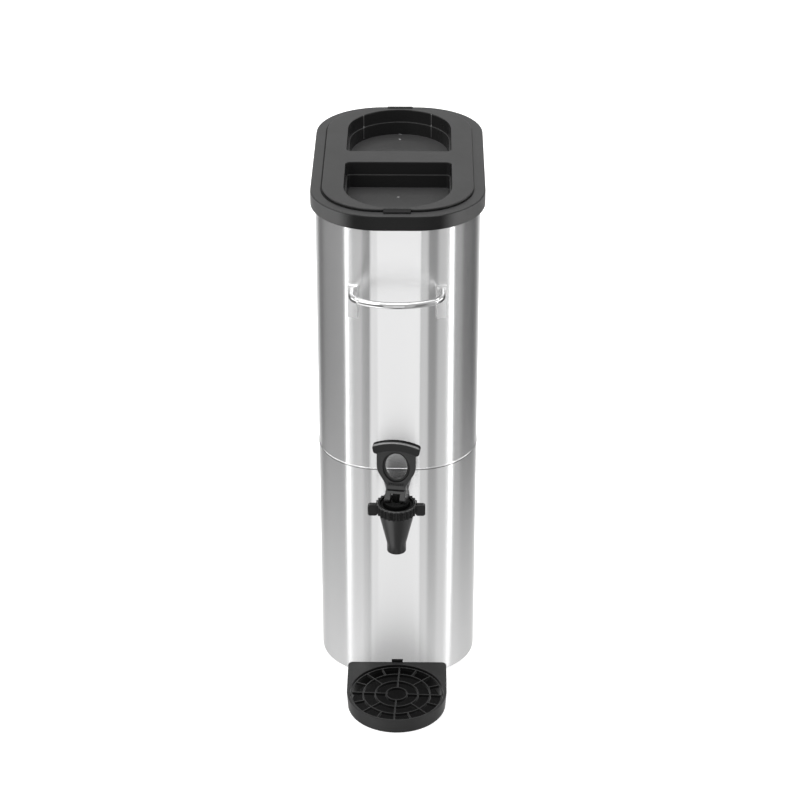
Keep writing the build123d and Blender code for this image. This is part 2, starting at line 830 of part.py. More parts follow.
# Drip tray: a round pan in a square-backed deck, open below at its two back corners
grate_seat = tray_height - grate_drop - grate_thickness
pan_radius = grate_radius + grate_gap
with BuildPart() as drip_tray:
    with BuildSketch(Plane((0, tray_y, tray_height))):
        add(tray_face(0))
    extrude(amount=-tray_height, taper=tray_draft)
    chamfer(drip_tray.faces().sort_by(Axis.Z)[-1].edges(), tray_edge)
    with BuildSketch(pan_level(tray_height)):
        Circle(pan_radius)
    extrude(amount=-(tray_height - grate_seat), mode=Mode.SUBTRACT)
    with BuildSketch(pan_level(grate_seat)):
        Circle(pan_radius - grate_ledge)
    extrude(amount=-(grate_seat - tray_floor), mode=Mode.SUBTRACT)
    with BuildSketch(Plane((0, tray_y, 0))):
        add(tray_face(tray_rear_wall))
        with Locations((0, pan_y - tray_y)):
            Circle(pan_radius + tray_wall, mode=Mode.SUBTRACT)
        with Locations((0, pan_y - tray_y - tray_half_width / 2)):
            Rectangle(2 * tray_half_width, tray_half_width, mode=Mode.SUBTRACT)
    extrude(amount=tray_height - tray_lip, mode=Mode.SUBTRACT)
    # catch: a post behind the deck with a tongue that slides into the base's slot
    tray_back = front_y - tray_gap
    with BuildSketch(Plane((0, tray_back - catch_thickness / 2, tray_height - tray_lip))):
        Rectangle(catch_width, catch_thickness)
    extrude(amount=catch_rise + tray_lip)
    tongue_length = tray_gap + sheet + catch_reach
    with BuildSketch(Plane((0, tray_back + tongue_length / 2, tray_height + catch_rise))):
        Rectangle(catch_width, tongue_length)
    extrude(amount=-catch_thickness)
finish(drip_tray, "drip_tray")

# Grate: rings joined by ribs, more of them further out
with BuildPart() as drip_grate:
    with BuildSketch(pan_level(grate_seat)):
        Circle(grate_radius)
        Circle(grate_radius - grate_bar, mode=Mode.SUBTRACT)
        for ring in grate_rings:
            Circle(ring + grate_bar / 2)
            Circle(ring - grate_bar / 2, mode=Mode.SUBTRACT)
        ring_outside = grate_radius - grate_bar / 2
        for ring, rib_count in zip(grate_rings, grate_ribs):
            rib_length = ring_outside - ring
            with PolarLocations(ring + rib_length / 2, rib_count, start_angle=grate_twist):
                Rectangle(rib_length, grate_bar)
            ring_outside = ring
    extrude(amount=grate_thickness)
finish(drip_grate, "drip_grate")
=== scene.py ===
import json
from math import cos, radians, sin

import bmesh
import bpy
from mathutils import Matrix, Vector
from mathutils.bvhtree import BVHTree

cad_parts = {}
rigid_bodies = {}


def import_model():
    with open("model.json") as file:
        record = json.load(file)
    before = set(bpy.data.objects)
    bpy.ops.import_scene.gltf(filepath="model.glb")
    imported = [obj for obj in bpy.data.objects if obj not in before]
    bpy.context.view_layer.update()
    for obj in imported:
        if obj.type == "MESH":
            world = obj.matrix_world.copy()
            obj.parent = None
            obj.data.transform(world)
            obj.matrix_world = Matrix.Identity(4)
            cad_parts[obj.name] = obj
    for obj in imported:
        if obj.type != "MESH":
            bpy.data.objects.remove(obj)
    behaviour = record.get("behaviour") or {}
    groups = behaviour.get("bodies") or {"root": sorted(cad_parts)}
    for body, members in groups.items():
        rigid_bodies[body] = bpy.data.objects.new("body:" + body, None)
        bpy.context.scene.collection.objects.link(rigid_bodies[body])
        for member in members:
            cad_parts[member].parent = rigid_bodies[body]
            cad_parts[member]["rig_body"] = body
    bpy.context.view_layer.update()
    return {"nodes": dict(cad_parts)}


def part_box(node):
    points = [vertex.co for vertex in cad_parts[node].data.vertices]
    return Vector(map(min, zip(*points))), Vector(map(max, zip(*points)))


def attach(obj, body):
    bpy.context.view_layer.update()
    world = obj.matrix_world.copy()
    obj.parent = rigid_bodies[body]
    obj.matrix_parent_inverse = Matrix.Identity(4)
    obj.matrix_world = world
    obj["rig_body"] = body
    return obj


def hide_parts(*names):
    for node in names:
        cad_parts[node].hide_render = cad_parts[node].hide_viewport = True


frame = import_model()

nodes = frame["nodes"]
print("frame loaded:", len(nodes), "nodes")

# Camera, where the photograph was taken from
cameraSet = {"place": (0.0247, -2.0773, 1.3924), "turn": (61.51, 0.0, 0.636), "lens": 106.0, "sensor": 36.0}
cameraData = bpy.data.cameras.new("camera")
cameraData.lens = cameraSet["lens"]
cameraData.sensor_width = cameraSet["sensor"]
camera = bpy.data.objects.new("camera", cameraData)
camera.location = cameraSet["place"]
camera.rotation_euler = [radians(angle) for angle in cameraSet["turn"]]
bpy.context.scene.collection.objects.link(camera)
bpy.context.scene.camera = camera
bpy.context.scene.view_settings.view_transform = "Standard"
print("camera placed")


# Node helpers
def newMaterial(name):
    material = bpy.data.materials.new(name)
    material.use_nodes = True
    tree = material.node_tree
    return material, tree, tree.nodes["Principled BSDF"]


def mathNode(tree, operation, first, second=None, clamp=False):
    node = tree.nodes.new("ShaderNodeMath")
    node.operation = operation
    node.use_clamp = clamp
    for socket, value in zip(node.inputs, (first, second)):
        if isinstance(value, bpy.types.NodeSocket):
            tree.links.new(value, socket)
        elif value is not None:
            socket.default_value = value
    return node.outputs[0]


def rangeNode(tree, value, fromLow, fromHigh, toLow, toHigh, smooth=False):
    node = tree.nodes.new("ShaderNodeMapRange")
    node.interpolation_type = "SMOOTHSTEP" if smooth else "LINEAR"
    tree.links.new(value, node.inputs["Value"])
    numbers = {"From Min": fromLow, "From Max": fromHigh, "To Min": toLow, "To Max": toHigh}
    for name, number in numbers.items():
        node.inputs[name].default_value = number
    return node.outputs["Result"]


def blendValue(tree, factor, low, high):
    node = tree.nodes.new("ShaderNodeMix")
    node.data_type = "FLOAT"
    for socket, value in zip(node.inputs[:1] + node.inputs[2:4], (factor, low, high)):
        if isinstance(value, bpy.types.NodeSocket):
            tree.links.new(value, socket)
        else:
            socket.default_value = value
    return node.outputs[0]


def noiseNode(tree, scale, stretch=(1, 1, 1), detail=4.0, roughness=0.55):
    # Noise on the object's own coordinates, scale in waves per metre
    place = tree.nodes.new("ShaderNodeTexCoord")
    mapping = tree.nodes.new("ShaderNodeMapping")
    mapping.inputs["Scale"].default_value = stretch
    noise = tree.nodes.new("ShaderNodeTexNoise")
    noise.inputs["Scale"].default_value = scale
    noise.inputs["Detail"].default_value = detail
    noise.inputs["Roughness"].default_value = roughness
    tree.links.new(place.outputs["Object"], mapping.inputs["Vector"])
    tree.links.new(mapping.outputs["Vector"], noise.inputs["Vector"])
    return noise.outputs["Fac"]


def bumpNode(tree, height, distance, strength, shader):
    # Relief from a height in metres
    node = tree.nodes.new("ShaderNodeBump")
    node.inputs["Strength"].default_value = strength
    node.inputs["Distance"].default_value = distance
    tree.links.new(height, node.inputs["Height"])
    tree.links.new(node.outputs["Normal"], shader.inputs["Normal"])


def tintNode(tree, factor, low, high, shader):
    # Colour that drifts between two shades
    node = tree.nodes.new("ShaderNodeMix")
    node.data_type = "RGBA"
    node.clamp_factor = False
    tree.links.new(factor, node.inputs[0])
    node.inputs[6].default_value = (*low, 1)
    node.inputs[7].default_value = (*high, 1)
    tree.links.new(node.outputs[2], shader.inputs["Base Color"])


# Studio: lit surroundings that the steel mirrors as upright bands, by compass angle from the camera's side
studio = {
    "around": 0.28,        # level where no card stands
    "overhead": 1.35,      # level straight up
    "middleSky": 0.62,     # level between the cards and the overhead light
    "cardTop": (0.12, 0.42),     # heights between which the cards end
    "overheadEdge": (0.72, 0.92),    # heights between which the overhead light begins
    # name: middle in degrees, half width, soft edge, level
    "cards": {
        "frontWindow": (2, 7.5, 2, 1.0),
        "frontStepLeft": (-12, 5.5, 2, 0.86),
        "frontStepRight": (17.8, 5.3, 2, 0.64),
        "grayLeft": (-42, 11, 3, 0.40),
        "edgeLeft": (-60, 6, 4, 0.62),
        "flagLeft": (-26, 6, 2, 0.225),
        "flagRight": (34, 6.3, 3, 0.28),
        "grayRight": (53, 9, 6, 0.56),
        "sideLeft": (-95, 24, 14, 0.235),
        "sideRight": (84, 12, 8, 0.31),
        "darkLeft": (-133, 7, 4, 0.17),
        "darkRight": (116, 18, 8, 0.125),
        "behindLeft": (-170, 18, 8, 0.9),
        "behindRight": (172, 16, 8, 0.9),
    },
    # what faces that lean downwards mirror: a dark floor with a lit place on the left
    "below": {"edge": (-0.80, -0.70), "level": 0.14},    # heights over which it darkens downwards
    "lowCards": {"lowLeft": (-60, 22, 20, 3.0), "lowRight": (118, 22, 26, 0.6)},
    "strips": {
        "stripLeft": (-62.4, 1.7, 0.8, 1.7), "coreLeft": (-62.4, 0.5, 0.4, 5.0),
        "stripRight": (69.0, 3.3, 0.8, 1.7), "coreRight": (69.0, 0.6, 0.5, 5.0),
    },
    # lights at both sides above the cards: heights between which they stand, soft edge
    "sideLights": {"low": 0.06, "high": 0.50, "soft": 0.10},
    "sideCards": {"lightLeft": (-84, 22, 18, 2.2), "lightRight": (86, 22, 18, 2.1)},
    # a narrow bright lamp high behind, which rounded edges catch
    "topBar": {"halfWidth": 70.0, "softEdge": 20.0, "middle": 0.80, "half": 0.02, "soft": 0.03,
               "level": 5.0},
    # the light behind the object that the black tops mirror, between two heights
    "backLight": {"halfWidth": 34.0, "softEdge": 18.0, "level": 0.94,
                  "low": 0.30, "high": 0.66, "soft": 0.12},
    "backdrop": 1.0,    # level that the camera itself sees
}
world = bpy.data.worlds.new("studio")
bpy.context.scene.world = world
world.use_nodes = True
tree = world.node_tree
direction = tree.nodes.new("ShaderNodeTexCoord")
split = tree.nodes.new("ShaderNodeSeparateXYZ")
tree.links.new(direction.outputs["Generated"], split.inputs[0])
backwards = mathNode(tree, "MULTIPLY", split.outputs["Y"], -1.0)
compass = mathNode(tree, "DEGREES", mathNode(tree, "ARCTAN2", split.outputs["X"], backwards))
level = studio["around"]
upwards = split.outputs["Z"]


def withCards(level, cards):
    # Upright cards of one level each, by compass angle
    for middle, halfWidth, softEdge, cardLevel in cards.values():
        away = mathNode(tree, "ABSOLUTE", mathNode(tree, "SUBTRACT", compass, float(middle)))
        window = rangeNode(tree, away, halfWidth, halfWidth + softEdge, 1, 0, smooth=True)
        level = blendValue(tree, window, level, cardLevel)
    return level


def betweenHeights(light):
    # 1 between a light's two heights, with soft edges
    low, high, soft = light["low"], light["high"], light["soft"]
    aboveLow = rangeNode(tree, upwards, low - soft, low + soft, 0, 1, smooth=True)
    belowHigh = rangeNode(tree, upwards, high - soft, high + soft, 1, 0, smooth=True)
    return mathNode(tree, "MULTIPLY", aboveLow, belowHigh)


level = withCards(level, studio["cards"])
level = withCards(level, studio["strips"])
lowLevel = withCards(studio["below"]["level"], studio["lowCards"])
belowCards = rangeNode(tree, upwards, *studio["below"]["edge"], 1, 0, smooth=True)
level = blendValue(tree, belowCards, level, lowLevel)
aboveCards = rangeNode(tree, upwards, *studio["cardTop"], 0, 1, smooth=True)
level = blendValue(tree, aboveCards, level, studio["middleSky"])
level = blendValue(tree, betweenHeights(studio["sideLights"]), level, withCards(level, studio["sideCards"]))
back = studio["backLight"]
sideways = mathNode(tree, "SUBTRACT", 180.0, mathNode(tree, "ABSOLUTE", compass))
inBack = rangeNode(tree, sideways, back["halfWidth"], back["halfWidth"] + back["softEdge"], 1, 0, smooth=True)
inBack = mathNode(tree, "MULTIPLY", inBack, betweenHeights(back))
level = blendValue(tree, inBack, level, back["level"])
aboveAll = rangeNode(tree, upwards, *studio["overheadEdge"], 0, 1, smooth=True)
level = blendValue(tree, aboveAll, level, studio["overhead"])
bar = studio["topBar"]
offBar = mathNode(tree, "ABSOLUTE", mathNode(tree, "SUBTRACT", upwards, bar["middle"]))
onBar = rangeNode(tree, offBar, bar["half"], bar["half"] + bar["soft"], 1, 0, smooth=True)
inBar = rangeNode(tree, sideways, bar["halfWidth"], bar["halfWidth"] + bar["softEdge"], 1, 0, smooth=True)
level = blendValue(tree, mathNode(tree, "MULTIPLY", onBar, inBar), level, bar["level"])
rays = tree.nodes.new("ShaderNodeLightPath")
level = blendValue(tree, rays.outputs["Is Camera Ray"], level, studio["backdrop"])
tree.links.new(level, tree.nodes["Background"].inputs["Color"])

# Floor: white to the eye with the object's shadow, and clear to mirrored rays further out
floorSet = {
    "half": 6.0, "tone": 0.80, "glow": 0.50,
    # how far it is white to mirrored rays, and how bright
    "nearRadius": 0.12, "farRadius": 0.62, "nearCover": 0.62, "mirrorLevel": 0.92,
    # the painted reflection: a dark patch before the body, seen only in the steel
    "patchNear": 0.035, "patchFar": 0.14, "patchWidth": 2.0, "patchDark": 0.55,
}
bm = bmesh.new()
bmesh.ops.create_grid(bm, x_segments=1, y_segments=1, size=floorSet["half"])
floorMesh = bpy.data.meshes.new("floor")
bm.to_mesh(floorMesh)
bm.free()
floor = bpy.data.objects.new("floor", floorMesh)
bpy.context.scene.collection.objects.link(floor)
floorMaterial, tree, shader = newMaterial("floorPaper")
floorMesh.materials.append(floorMaterial)
shader.inputs["Base Color"].default_value = (floorSet["tone"],) * 3 + (1,)
shader.inputs["Roughness"].default_value = 1.0
shader.inputs["Specular IOR Level"].default_value = 0.0
rays = tree.nodes.new("ShaderNodeLightPath")
shown = mathNode(tree, "MAXIMUM", rays.outputs["Is Camera Ray"], rays.outputs["Is Transmission Ray"])
shader.inputs["Emission Color"].default_value = (1, 1, 1, 1)
tree.links.new(mathNode(tree, "MULTIPLY", shown, floorSet["glow"]), shader.inputs["Emission Strength"])
place = tree.nodes.new("ShaderNodeTexCoord")
reach = tree.nodes.new("ShaderNodeVectorMath")
reach.operation = "LENGTH"
tree.links.new(place.outputs["Object"], reach.inputs[0])
cover = rangeNode(tree, reach.outputs["Value"], floorSet["nearRadius"], floorSet["farRadius"],
                  floorSet["nearCover"], 0.0)
clear = tree.nodes.new("ShaderNodeBsdfTransparent")
white = tree.nodes.new("ShaderNodeEmission")
white.inputs["Strength"].default_value = floorSet["mirrorLevel"]
mirrored = tree.nodes.new("ShaderNodeMixShader")
tree.links.new(cover, mirrored.inputs[0])
tree.links.new(clear.outputs[0], mirrored.inputs[1])
tree.links.new(white.outputs[0], mirrored.inputs[2])
# painted reflection: a dark patch before the body, seen only by mirrored rays, stands for the tray mirrored
# in the steel
patchShift = tree.nodes.new("ShaderNodeMapping")
patchShift.inputs["Location"].default_value = (0, -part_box("base_shell")[0].y, 0)
patchShift.inputs["Scale"].default_value = (floorSet["patchWidth"], 1, 1)
tree.links.new(place.outputs["Object"], patchShift.inputs["Vector"])
patchReach = tree.nodes.new("ShaderNodeVectorMath")
patchReach.operation = "LENGTH"
tree.links.new(patchShift.outputs["Vector"], patchReach.inputs[0])
paintedReflection = rangeNode(tree, patchReach.outputs["Value"], floorSet["patchNear"], floorSet["patchFar"],
                  floorSet["patchDark"], 0.0, smooth=True)
black = tree.nodes.new("ShaderNodeEmission")
black.inputs["Strength"].default_value = 0.0
withPaintedReflection = tree.nodes.new("ShaderNodeMixShader")
tree.links.new(paintedReflection, withPaintedReflection.inputs[0])
tree.links.new(mirrored.outputs[0], withPaintedReflection.inputs[1])
tree.links.new(black.outputs[0], withPaintedReflection.inputs[2])
whole = tree.nodes.new("ShaderNodeMixShader")
tree.links.new(rays.outputs["Is Glossy Ray"], whole.inputs[0])
tree.links.new(shader.outputs[0], whole.inputs[1])
tree.links.new(withPaintedReflection.outputs[0], whole.inputs[2])
tree.links.new(whole.outputs[0], tree.nodes["Material Output"].inputs["Surface"])

# Lamps: one wide soft box overhead and a weaker one from the front left
lamps = {
    "overheadBox": {"place": (-0.3, 0.1, 2.6), "size": 1.8, "power": 22.0},
    "frontBox": {"place": (-1.6, -2.0, 1.9), "size": 1.2, "power": 12.0},
}
lampTarget = Vector((0, 0, 0.3))
for name, lamp in lamps.items():
    lampData = bpy.data.lights.new(name, "AREA")
    lampData.size = lamp["size"]
    lampData.energy = lamp["power"]
    lampObject = bpy.data.objects.new(name, lampData)
    lampObject.location = lamp["place"]
    aim = lampTarget - lampObject.location
    lampObject.rotation_euler = aim.to_track_quat("-Z", "Y").to_euler()
    bpy.context.scene.collection.objects.link(lampObject)
print("studio lit")


# Materials
noiseSpread = (0.3, 0.7)    # most values of a noise lie between these


def bodySteel():
    # Polished sheet whose fine marks run round the body, so mirrored things smear up and down
    material, tree, shader = newMaterial("bodySteel")
    look = {
        "rough": (0.20, 0.23), "anisotropy": 1.0, "quarterTurn": 0.25,
        "marks": 40.0, "markStretch": (1, 1, 60), "markDetail": 6.0, "markRoughness": 0.6,
        "drift": 9.0, "driftStretch": (1, 1, 0.35), "driftDetail": 2.0,
        "darkest": (0.86, 0.86, 0.865), "palest": (0.91, 0.91, 0.91),
    }
    shader.inputs["Metallic"].default_value = 1.0
    shader.inputs["Anisotropic"].default_value = look["anisotropy"]
    shader.inputs["Anisotropic Rotation"].default_value = look["quarterTurn"]
    tangent = tree.nodes.new("ShaderNodeTangent")
    tangent.direction_type = "RADIAL"
    tangent.axis = "Z"
    tree.links.new(tangent.outputs[0], shader.inputs["Tangent"])
    marks = noiseNode(tree, look["marks"], look["markStretch"], look["markDetail"], look["markRoughness"])
    drift = noiseNode(tree, look["drift"], look["driftStretch"], look["driftDetail"])
    tree.links.new(rangeNode(tree, marks, *noiseSpread, *look["rough"]), shader.inputs["Roughness"])
    tintNode(tree, drift, look["darkest"], look["palest"], shader)
    return material


def rodSteel(name, rough, darkest, palest):
    # Drawn rod and small plates, with a faint grain
    material, tree, shader = newMaterial(name)
    look = {"grain": 160.0, "detail": 5.0, "relief": 0.00003, "strength": 0.15}
    shader.inputs["Metallic"].default_value = 1.0
    grain = noiseNode(tree, look["grain"], detail=look["detail"])
    tree.links.new(rangeNode(tree, grain, *noiseSpread, *rough), shader.inputs["Roughness"])
    tintNode(tree, grain, (darkest,) * 3, (palest,) * 3, shader)
    bumpNode(tree, grain, look["relief"], look["strength"], shader)
    return material


def satinSteel(name, darkest, palest):
    # Plain sheet and fasteners out of sight; in darker tints the same satin paints the shade at the seam on
    # the shells' edges
    material, tree, shader = newMaterial(name)
    look = {"grain": 60.0, "stretch": (12, 1, 1), "detail": 5.0, "rough": (0.26, 0.40),
            "relief": 0.00004, "strength": 0.3}
    shader.inputs["Metallic"].default_value = 1.0
    grain = noiseNode(tree, look["grain"], look["stretch"], look["detail"])
    tree.links.new(rangeNode(tree, grain, *noiseSpread, *look["rough"]), shader.inputs["Roughness"])
    tintNode(tree, grain, (darkest,) * 3, (palest,) * 3, shader)
    bumpNode(tree, grain, look["relief"], look["strength"], shader)
    return material


# What all moulded pieces share
moulding = {
    # upward share of a face's direction over which a wall turns into a top, and over which a corner's painted
    # sheen fades
    "levelLean": (0.55, 0.85), "sideLean": (0.2, 0.7),
    # detail of the noises, and the broad clouds in the shade of the tops
    "detail": 3.0, "cloud": 22.0, "cloudShade": (0.88, 1.0),
}


def blackPlastic(name, look):
    # Moulded black plastic: level faces are matte with a fine spark texture and walls are smoother; the
    # walls' darker colour and the tops' paler one paint how each is lit
    material, tree, shader = newMaterial(name)
    shader.inputs["Specular IOR Level"].default_value = look["gloss"]
    facing = tree.nodes.new("ShaderNodeTexCoord")
    parts = tree.nodes.new("ShaderNodeSeparateXYZ")
    tree.links.new(facing.outputs["Normal"], parts.inputs[0])
    levelFace = rangeNode(tree, parts.outputs["Z"], *moulding["levelLean"], 0, 1, smooth=True)
    fine = noiseNode(tree, look["grain"], detail=moulding["detail"])
    cloud = noiseNode(tree, moulding["cloud"], detail=moulding["detail"])
    onTop = rangeNode(tree, cloud, *noiseSpread, *look["topRough"])
    onWall = rangeNode(tree, cloud, *noiseSpread, *look["wallRough"])
    tree.links.new(blendValue(tree, levelFace, onWall, onTop), shader.inputs["Roughness"])
    topShade = rangeNode(tree, cloud, *noiseSpread, *moulding["cloudShade"])
    shade = mathNode(tree, "MULTIPLY", levelFace, topShade)
    if "corner" in look:
        # painted sheen: the walls get a paler colour where they turn to the sides
        turned = mathNode(tree, "ABSOLUTE", parts.outputs["X"])
        paintedSheen = rangeNode(tree, turned, *look["turned"], 0.0, 1.0, smooth=True)
        onSide = rangeNode(tree, parts.outputs["Z"], *moulding["sideLean"], 1.0, 0.0, smooth=True)
        paintedSheen = mathNode(tree, "MULTIPLY", paintedSheen, onSide)
        sheenShade = mathNode(tree, "MULTIPLY", paintedSheen, look["corner"] / look["top"])
        shade = mathNode(tree, "MAXIMUM", shade, sheenShade)
    # painted light: level faces and walls take their two colours by which way they face
    tintNode(tree, shade, (look["wall"],) * 3, (look["top"],) * 3, shader)
    bumpNode(tree, fine, look["relief"], look["strength"], shader)
    return material


# texture of each mould, then each finish made in it; each finish's top and wall colours are set apart to
# paint how level faces and walls are lit
lidMould = {"grain": 1400.0, "relief": 0.00005, "strength": 0.3, "topRough": (0.42, 0.50)}
glintMould = {"grain": 1400.0, "relief": 0.00002, "strength": 0.2, "topRough": (0.20, 0.25),
               "wallRough": (0.20, 0.25)}
tapMould = {"grain": 900.0, "relief": 0.00006, "strength": 0.3, "topRough": (0.26, 0.32)}
brightMould = {"grain": 900.0, "relief": 0.00003, "strength": 0.2}
trayMould = {"grain": 1100.0, "relief": 0.00005, "strength": 0.35, "topRough": (0.40, 0.48)}
plastics = {
    "lidPlastic": lidMould | {"wallRough": (0.12, 0.16), "gloss": 0.22, "top": 0.028, "wall": 0.015},
    "litFloorPlastic": lidMould | {"wallRough": (0.12, 0.16), "gloss": 0.22, "top": 0.044, "wall": 0.015},
    # the rim's walls get a painted sheen at the corners
    "rimPlastic": lidMould | {"wallRough": (0.40, 0.46), "gloss": 0.24, "top": 0.028, "wall": 0.006,
                              "corner": 0.11, "turned": (0.34, 0.62)},
    "shadedTabPlastic": lidMould | {"wallRough": (0.30, 0.36), "gloss": 0.08, "top": 0.010, "wall": 0.008},
    "paintedGlintPlastic": glintMould | {"gloss": 0.5, "top": 0.11, "wall": 0.11},
    "glintGatePlastic": glintMould | {"gloss": 0.5, "top": 0.22, "wall": 0.16},
    "tapPlastic": tapMould | {"wallRough": (0.28, 0.34), "gloss": 0.46, "top": 0.010, "wall": 0.005},
    "bonnetPlastic": tapMould | {"wallRough": (0.20, 0.26), "gloss": 0.26, "top": 0.006, "wall": 0.005},
    "litBandPlastic": tapMould | {"topRough": (0.36, 0.42), "wallRough": (0.36, 0.42), "gloss": 0.5,
                               "top": 0.018, "wall": 0.020},
    "paintedShinePlastic": brightMould | {"topRough": (0.16, 0.20), "wallRough": (0.16, 0.20), "gloss": 1.0,
                                   "top": 0.11, "wall": 0.11},
    "glintPlastic": brightMould | {"topRough": (0.10, 0.14), "wallRough": (0.10, 0.14), "gloss": 0.6,
                                   "top": 0.008, "wall": 0.008},
    "trayPlastic": trayMould | {"wallRough": (0.34, 0.42), "gloss": 0.26, "top": 0.014, "wall": 0.020},
    # near-black and almost without gloss, for recesses, gaps and dark lines: painted shade
    "paintedShadePlastic": trayMould | {"wallRough": (0.30, 0.38), "gloss": 0.05, "top": 0.004, "wall": 0.003},
    "gratePlastic": trayMould | {"topRough": (0.36, 0.42), "wallRough": (0.30, 0.38), "gloss": 0.26,
                                 "top": 0.012, "wall": 0.004},
    "stemPlastic": {"grain": 900.0, "relief": 0.00004, "strength": 0.3, "topRough": (0.35, 0.45),
                    "wallRough": (0.35, 0.45), "gloss": 0.15, "top": 0.005, "wall": 0.004},
    "sealRubber": {"grain": 700.0, "relief": 0.00006, "strength": 0.5, "topRough": (0.55, 0.7),
                   "wallRough": (0.55, 0.7), "gloss": 0.4, "top": 0.10, "wall": 0.09},
    "footRubber": {"grain": 600.0, "relief": 0.0001, "strength": 0.5, "topRough": (0.6, 0.75),
                   "wallRough": (0.6, 0.75), "gloss": 0.4, "top": 0.028, "wall": 0.024},
}
materials = {
    "bodySteel": bodySteel(),
    "rodSteel": rodSteel("rodSteel", (0.07, 0.13), 0.60, 0.68),
    "plateSteel": rodSteel("plateSteel", (0.36, 0.44), 0.90, 0.96),
    "satinSteel": satinSteel("satinSteel", 0.58, 0.68),
    # near-black and darker satin for the shells' edges at the seam: painted shade
    "seamShadeSteel": satinSteel("seamShadeSteel", 0.02, 0.03),
    "lipShadeSteel": satinSteel("lipShadeSteel", 0.50, 0.58),
}
for name, look in plastics.items():
    materials[name] = blackPlastic(name, look)

finishOf = {
    "base_shell": "bodySteel", "tank_shell": "bodySteel",
    "front_handle": "rodSteel", "rear_handle": "rodSteel",
    "front_handle_plates": "plateSteel", "rear_handle_plates": "plateSteel",
    "base_plate": "satinSteel", "base_studs": "satinSteel", "base_nuts": "satinSteel",
    "tank_floor": "satinSteel", "lever_pin": "satinSteel",
    "lid_rim": "lidPlastic", "lid_cover": "lidPlastic",
    "faucet_body": "tapPlastic", "faucet_bonnet": "tapPlastic", "faucet_lever": "tapPlastic",
    "shank_nut": "tapPlastic", "faucet_stem": "stemPlastic",
    "drip_tray": "trayPlastic", "drip_grate": "gratePlastic",
    "lid_gasket": "sealRubber", "outer_washer": "sealRubber", "inner_washer": "sealRubber",
    "seat_cup": "sealRubber", "feet": "footRubber",
}
for node, finish in finishOf.items():
    slots = nodes[node].material_slots
    if not slots:
        nodes[node].data.materials.append(materials[finish])
    for materialSlot in slots:
        materialSlot.material = materials[finish]
print("finishes given to", len(finishOf), "nodes")


# Finished pieces: each starts as a merged copy of its CAD piece
meshing = {"merge": 0.000002, "flat": 0.5, "sharp": 28}    # metres, degrees, degrees


def mergedCopy(node):
    bm = bmesh.new()
    bm.from_mesh(nodes[node].data)
    bmesh.ops.remove_doubles(bm, verts=bm.verts, dist=meshing["merge"])
    return bm


def roundedCopy(node, look):
    # The moulded pieces have their sharp edges rounded over
    bm = mergedCopy(node)
    bmesh.ops.dissolve_limit(bm, angle_limit=radians(meshing["flat"]), verts=bm.verts, edges=bm.edges)
    sharpFrom = radians(look.get("sharp", meshing["sharp"]))
    sharp = [edge for edge in bm.edges if edge.calc_face_angle(0) > sharpFrom]
    bmesh.ops.bevel(bm, geom=sharp, offset=look["round"], offset_type="OFFSET", segments=look["steps"],
                    profile=0.5, affect="EDGES", material=-1, clamp_overlap=False)
    return bm


def makeObject(name, bm, body, finishes):
    mesh = bpy.data.meshes.new(name)
    bm.to_mesh(mesh)
    bm.free()
    for finish in finishes:
        mesh.materials.append(materials[finish])
    piece = bpy.data.objects.new(name, mesh)
    bpy.context.scene.collection.objects.link(piece)
    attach(piece, body)
    return piece


def makePiece(name, bm, node, finishes, mirrored=True):
    # A finished piece that rides on its CAD node's body and stands for it
    for face in bm.faces:
        face.smooth = True
    piece = makeObject(name, bm, nodes[node]["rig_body"], finishes)
    weighting = piece.modifiers.new("evenShading", "WEIGHTED_NORMAL")
    weighting.weight = 100    # large faces decide the shading
    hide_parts(node)
    piece.visible_glossy = mirrored    # the steel hardly shows the lever and the tray right in front of it


# The shells keep their CAD shapes, with painted shade on their edges at the seam: near-black on the base's
# top edge, darker satin on the tank's lip
seamLook = {"edgeDepth": 0.0009, "lean": 0.18}
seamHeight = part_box("base_shell")[1].z


def makeShell(name, node, side, seamShadeFinish):
    # side is 1 where the edge at the seam leans up, and -1 where it leans down
    bm = mergedCopy(node)
    for edge in bm.edges:
        edge.smooth = edge.calc_face_angle(0) < radians(meshing["sharp"])
    for face in bm.faces:
        away = abs(face.calc_center_median().z - seamHeight)
        if away < seamLook["edgeDepth"] and face.normal.z * side > seamLook["lean"]:
            face.material_index = 1
    makePiece(name, bm, node, ["bodySteel", seamShadeFinish])


makeShell("baseShell", "base_shell", 1, "seamShadeSteel")
makeShell("tankShell", "tank_shell", -1, "lipShadeSteel")
print("shells finished")

lidRimLook = {"round": 0.0003, "steps": 2, "sharp": 60}
makePiece("lidRim", roundedCopy("lid_rim", lidRimLook), "lid_rim", ["rimPlastic"])

lidCoverLook = {
    "round": 0.0004, "steps": 3,
    "gateReach": 0.0016, "gateDepth": 0.020, "gateArea": 0.000004,    # area in square metres
    "tabReach": 0.0042, "tabRoot": 0.0010, "tabHalf": 0.0131,
    "tabFall": 0.0018, "tabTop": 0.0024, "tabDepth": 0.0034,
    "floorDepth": 0.016, "floorLean": 0.8,
    "markX": (-0.0364, 0.0316), "markFrom": 0.060, "markSize": (0.0008, 0.0008),
    # depths of each mark's ends below the top, and its finish
    "marks": ((0.0008, 0.0022, 1), (0.0022, 0.0122, 3), (0.0122, 0.0138, 1), (0.0138, 0.0245, 3)),
}
bm = roundedCopy("lid_cover", lidCoverLook)
low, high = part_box("lid_cover")
# the rear tab's top is levelled, so that it shows above the rim as a block
tabStart = high.y - lidCoverLook["tabReach"]
for vert in bm.verts:
    outwards = vert.co.y - tabStart
    nearTop = vert.co.z > high.z - lidCoverLook["tabTop"]
    if abs(vert.co.x) < lidCoverLook["tabHalf"] and outwards > 0 and nearTop:
        vert.co.z += lidCoverLook["tabFall"] * min(1.0, outwards / lidCoverLook["tabReach"])
